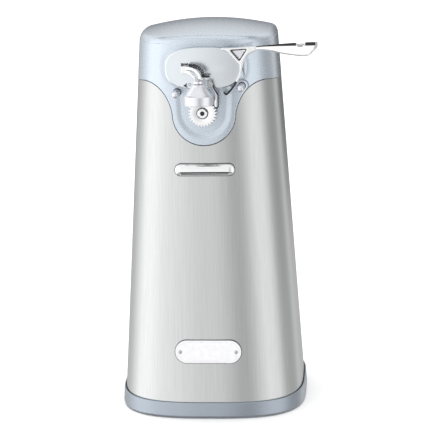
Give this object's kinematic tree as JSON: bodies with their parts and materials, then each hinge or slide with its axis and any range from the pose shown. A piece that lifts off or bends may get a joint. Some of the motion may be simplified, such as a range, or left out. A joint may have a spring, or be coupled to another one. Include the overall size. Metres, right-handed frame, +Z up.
{
  "type": "electric can opener",
  "caption": "Tall electric can opener: brushed stainless body on a grey base, domed head with chrome lever, lid magnet and toothed feed wheel, geared motor inside.",
  "frame": {"origin": "on the surface the feet stand on, under the middle of the whole object's box, handle and magnet included", "axes": "+Z up, the front with the lever and feed wheel faces -Y, the handle points along +X"},
  "size_m": [0.129, 0.1506, 0.2443],
  "materials": {
    "stainless": "satin",
    "housing": "gloss",
    "base": "satin",
    "chrome": "polished",
    "badge": "satin",
    "satin_plate": "satin",
    "steel": "satin",
    "cutting_steel": "polished",
    "black_plastic": "matte",
    "rubber": "matte",
    "nylon": "satin",
    "laminations": "matte",
    "winding": "satin",
    "magnet": "matte",
    "brass": "satin"
  },
  "bodies": {
    "root": {"base_ring": "base", "base_plate": "black_plastic", "body_sleeve": "stainless", "head_housing": "housing", "cord_gland": "black_plastic", "can_rest_bar": "chrome", "badge": "badge", "badge_rivet_left": "steel", "badge_rivet_right": "steel", "guide_post_left": "chrome", "guide_post_right": "chrome", "inner_frame": "black_plastic", "gear_plate": "steel", "axle_a": "steel", "axle_b": "steel", "output_bush": "brass", "stator_core": "laminations", "stator_coil": "winding", "bearing_bracket_front": "brass", "bearing_bracket_rear": "brass", "motor_bolt_left": "steel", "motor_bolt_right": "steel", "switch_body": "black_plastic", "foot_front_left": "rubber", "foot_front_right": "rubber", "foot_rear_left": "rubber", "foot_rear_right": "rubber", "base_screw_1": "steel", "base_screw_2": "steel", "base_screw_3": "steel", "base_screw_4": "steel", "head_screw_1": "steel", "head_screw_2": "steel", "plate_screw_1": "steel", "plate_screw_2": "steel", "plate_screw_3": "steel"},
    "rotor": {"rotor_core": "laminations", "rotor_shaft": "steel", "motor_pinion": "brass", "cooling_fan": "black_plastic"},
    "gear_a": {"gear_a": "nylon", "pinion_a": "steel"},
    "gear_b": {"gear_b": "steel", "pinion_b": "steel"},
    "output": {"output_gear": "steel", "output_shaft": "steel", "feed_wheel": "cutting_steel", "wheel_nut": "cutting_steel"},
    "lever": {"lever_handle": "chrome", "lever_plate": "satin_plate", "lever_shaft": "steel", "cutter_blade": "cutting_steel", "blade_bracket": "steel", "blade_screw": "steel", "magnet_arm_pin": "steel"},
    "magnet_arm": {"magnet_arm": "chrome"},
    "magnet": {"magnet_cup": "chrome", "magnet_disc": "magnet", "magnet_rivet": "steel"},
    "switch": {"switch_button": "nylon"}
  },
  "joints": [
    {"name": "rotor_spin", "type": "hinge", "parent": "root", "child": "rotor", "pos_m": [-0.00541, 0.0139, 0.1218], "axis": [0, 1, 0], "continuous": true},
    {"name": "gear_a_spin", "type": "hinge", "parent": "root", "child": "gear_a", "pos_m": [-0.00541, 0.0139, 0.1468], "axis": [0, 1, 0], "continuous": true},
    {"name": "gear_b_spin", "type": "hinge", "parent": "root", "child": "gear_b", "pos_m": [-0.00541, 0.0139, 0.1703], "axis": [0, 1, 0], "continuous": true},
    {"name": "feed_wheel_spin", "type": "hinge", "parent": "root", "child": "output", "pos_m": [-0.00541, 0.0139, 0.1938], "axis": [0, 1, 0], "continuous": true},
    {"name": "lever_lift", "type": "hinge", "parent": "root", "child": "lever", "pos_m": [-0.01741, -0.0441, 0.22], "axis": [0, -1, 0], "range_deg": [0, 30]},
    {"name": "switch_travel", "type": "slide", "parent": "root", "child": "switch", "axis": [0, 0, 1], "range_m": [0, 0.0016]},
    {"name": "magnet_arm_lift", "type": "hinge", "parent": "lever", "child": "magnet_arm", "pos_m": [-0.01641, -0.0461, 0.221], "axis": [-1, 0, 0], "range_deg": [0, 25]},
    {"name": "magnet_tilt", "type": "hinge", "parent": "magnet_arm", "child": "magnet", "pos_m": [-0.00651, -0.0661, 0.2145], "axis": [1, 0, 0], "range_deg": [-6, 6]}
  ],
  "couplings": [
    {"joint": "gear_a_spin", "follows": "rotor_spin", "ratio": -0.25},
    {"joint": "gear_b_spin", "follows": "rotor_spin", "ratio": 0.076389},
    {"joint": "feed_wheel_spin", "follows": "rotor_spin", "ratio": -0.023341},
    {"joint": "switch_travel", "follows": "lever_lift", "m_per_rad": 0.00286}
  ]
}
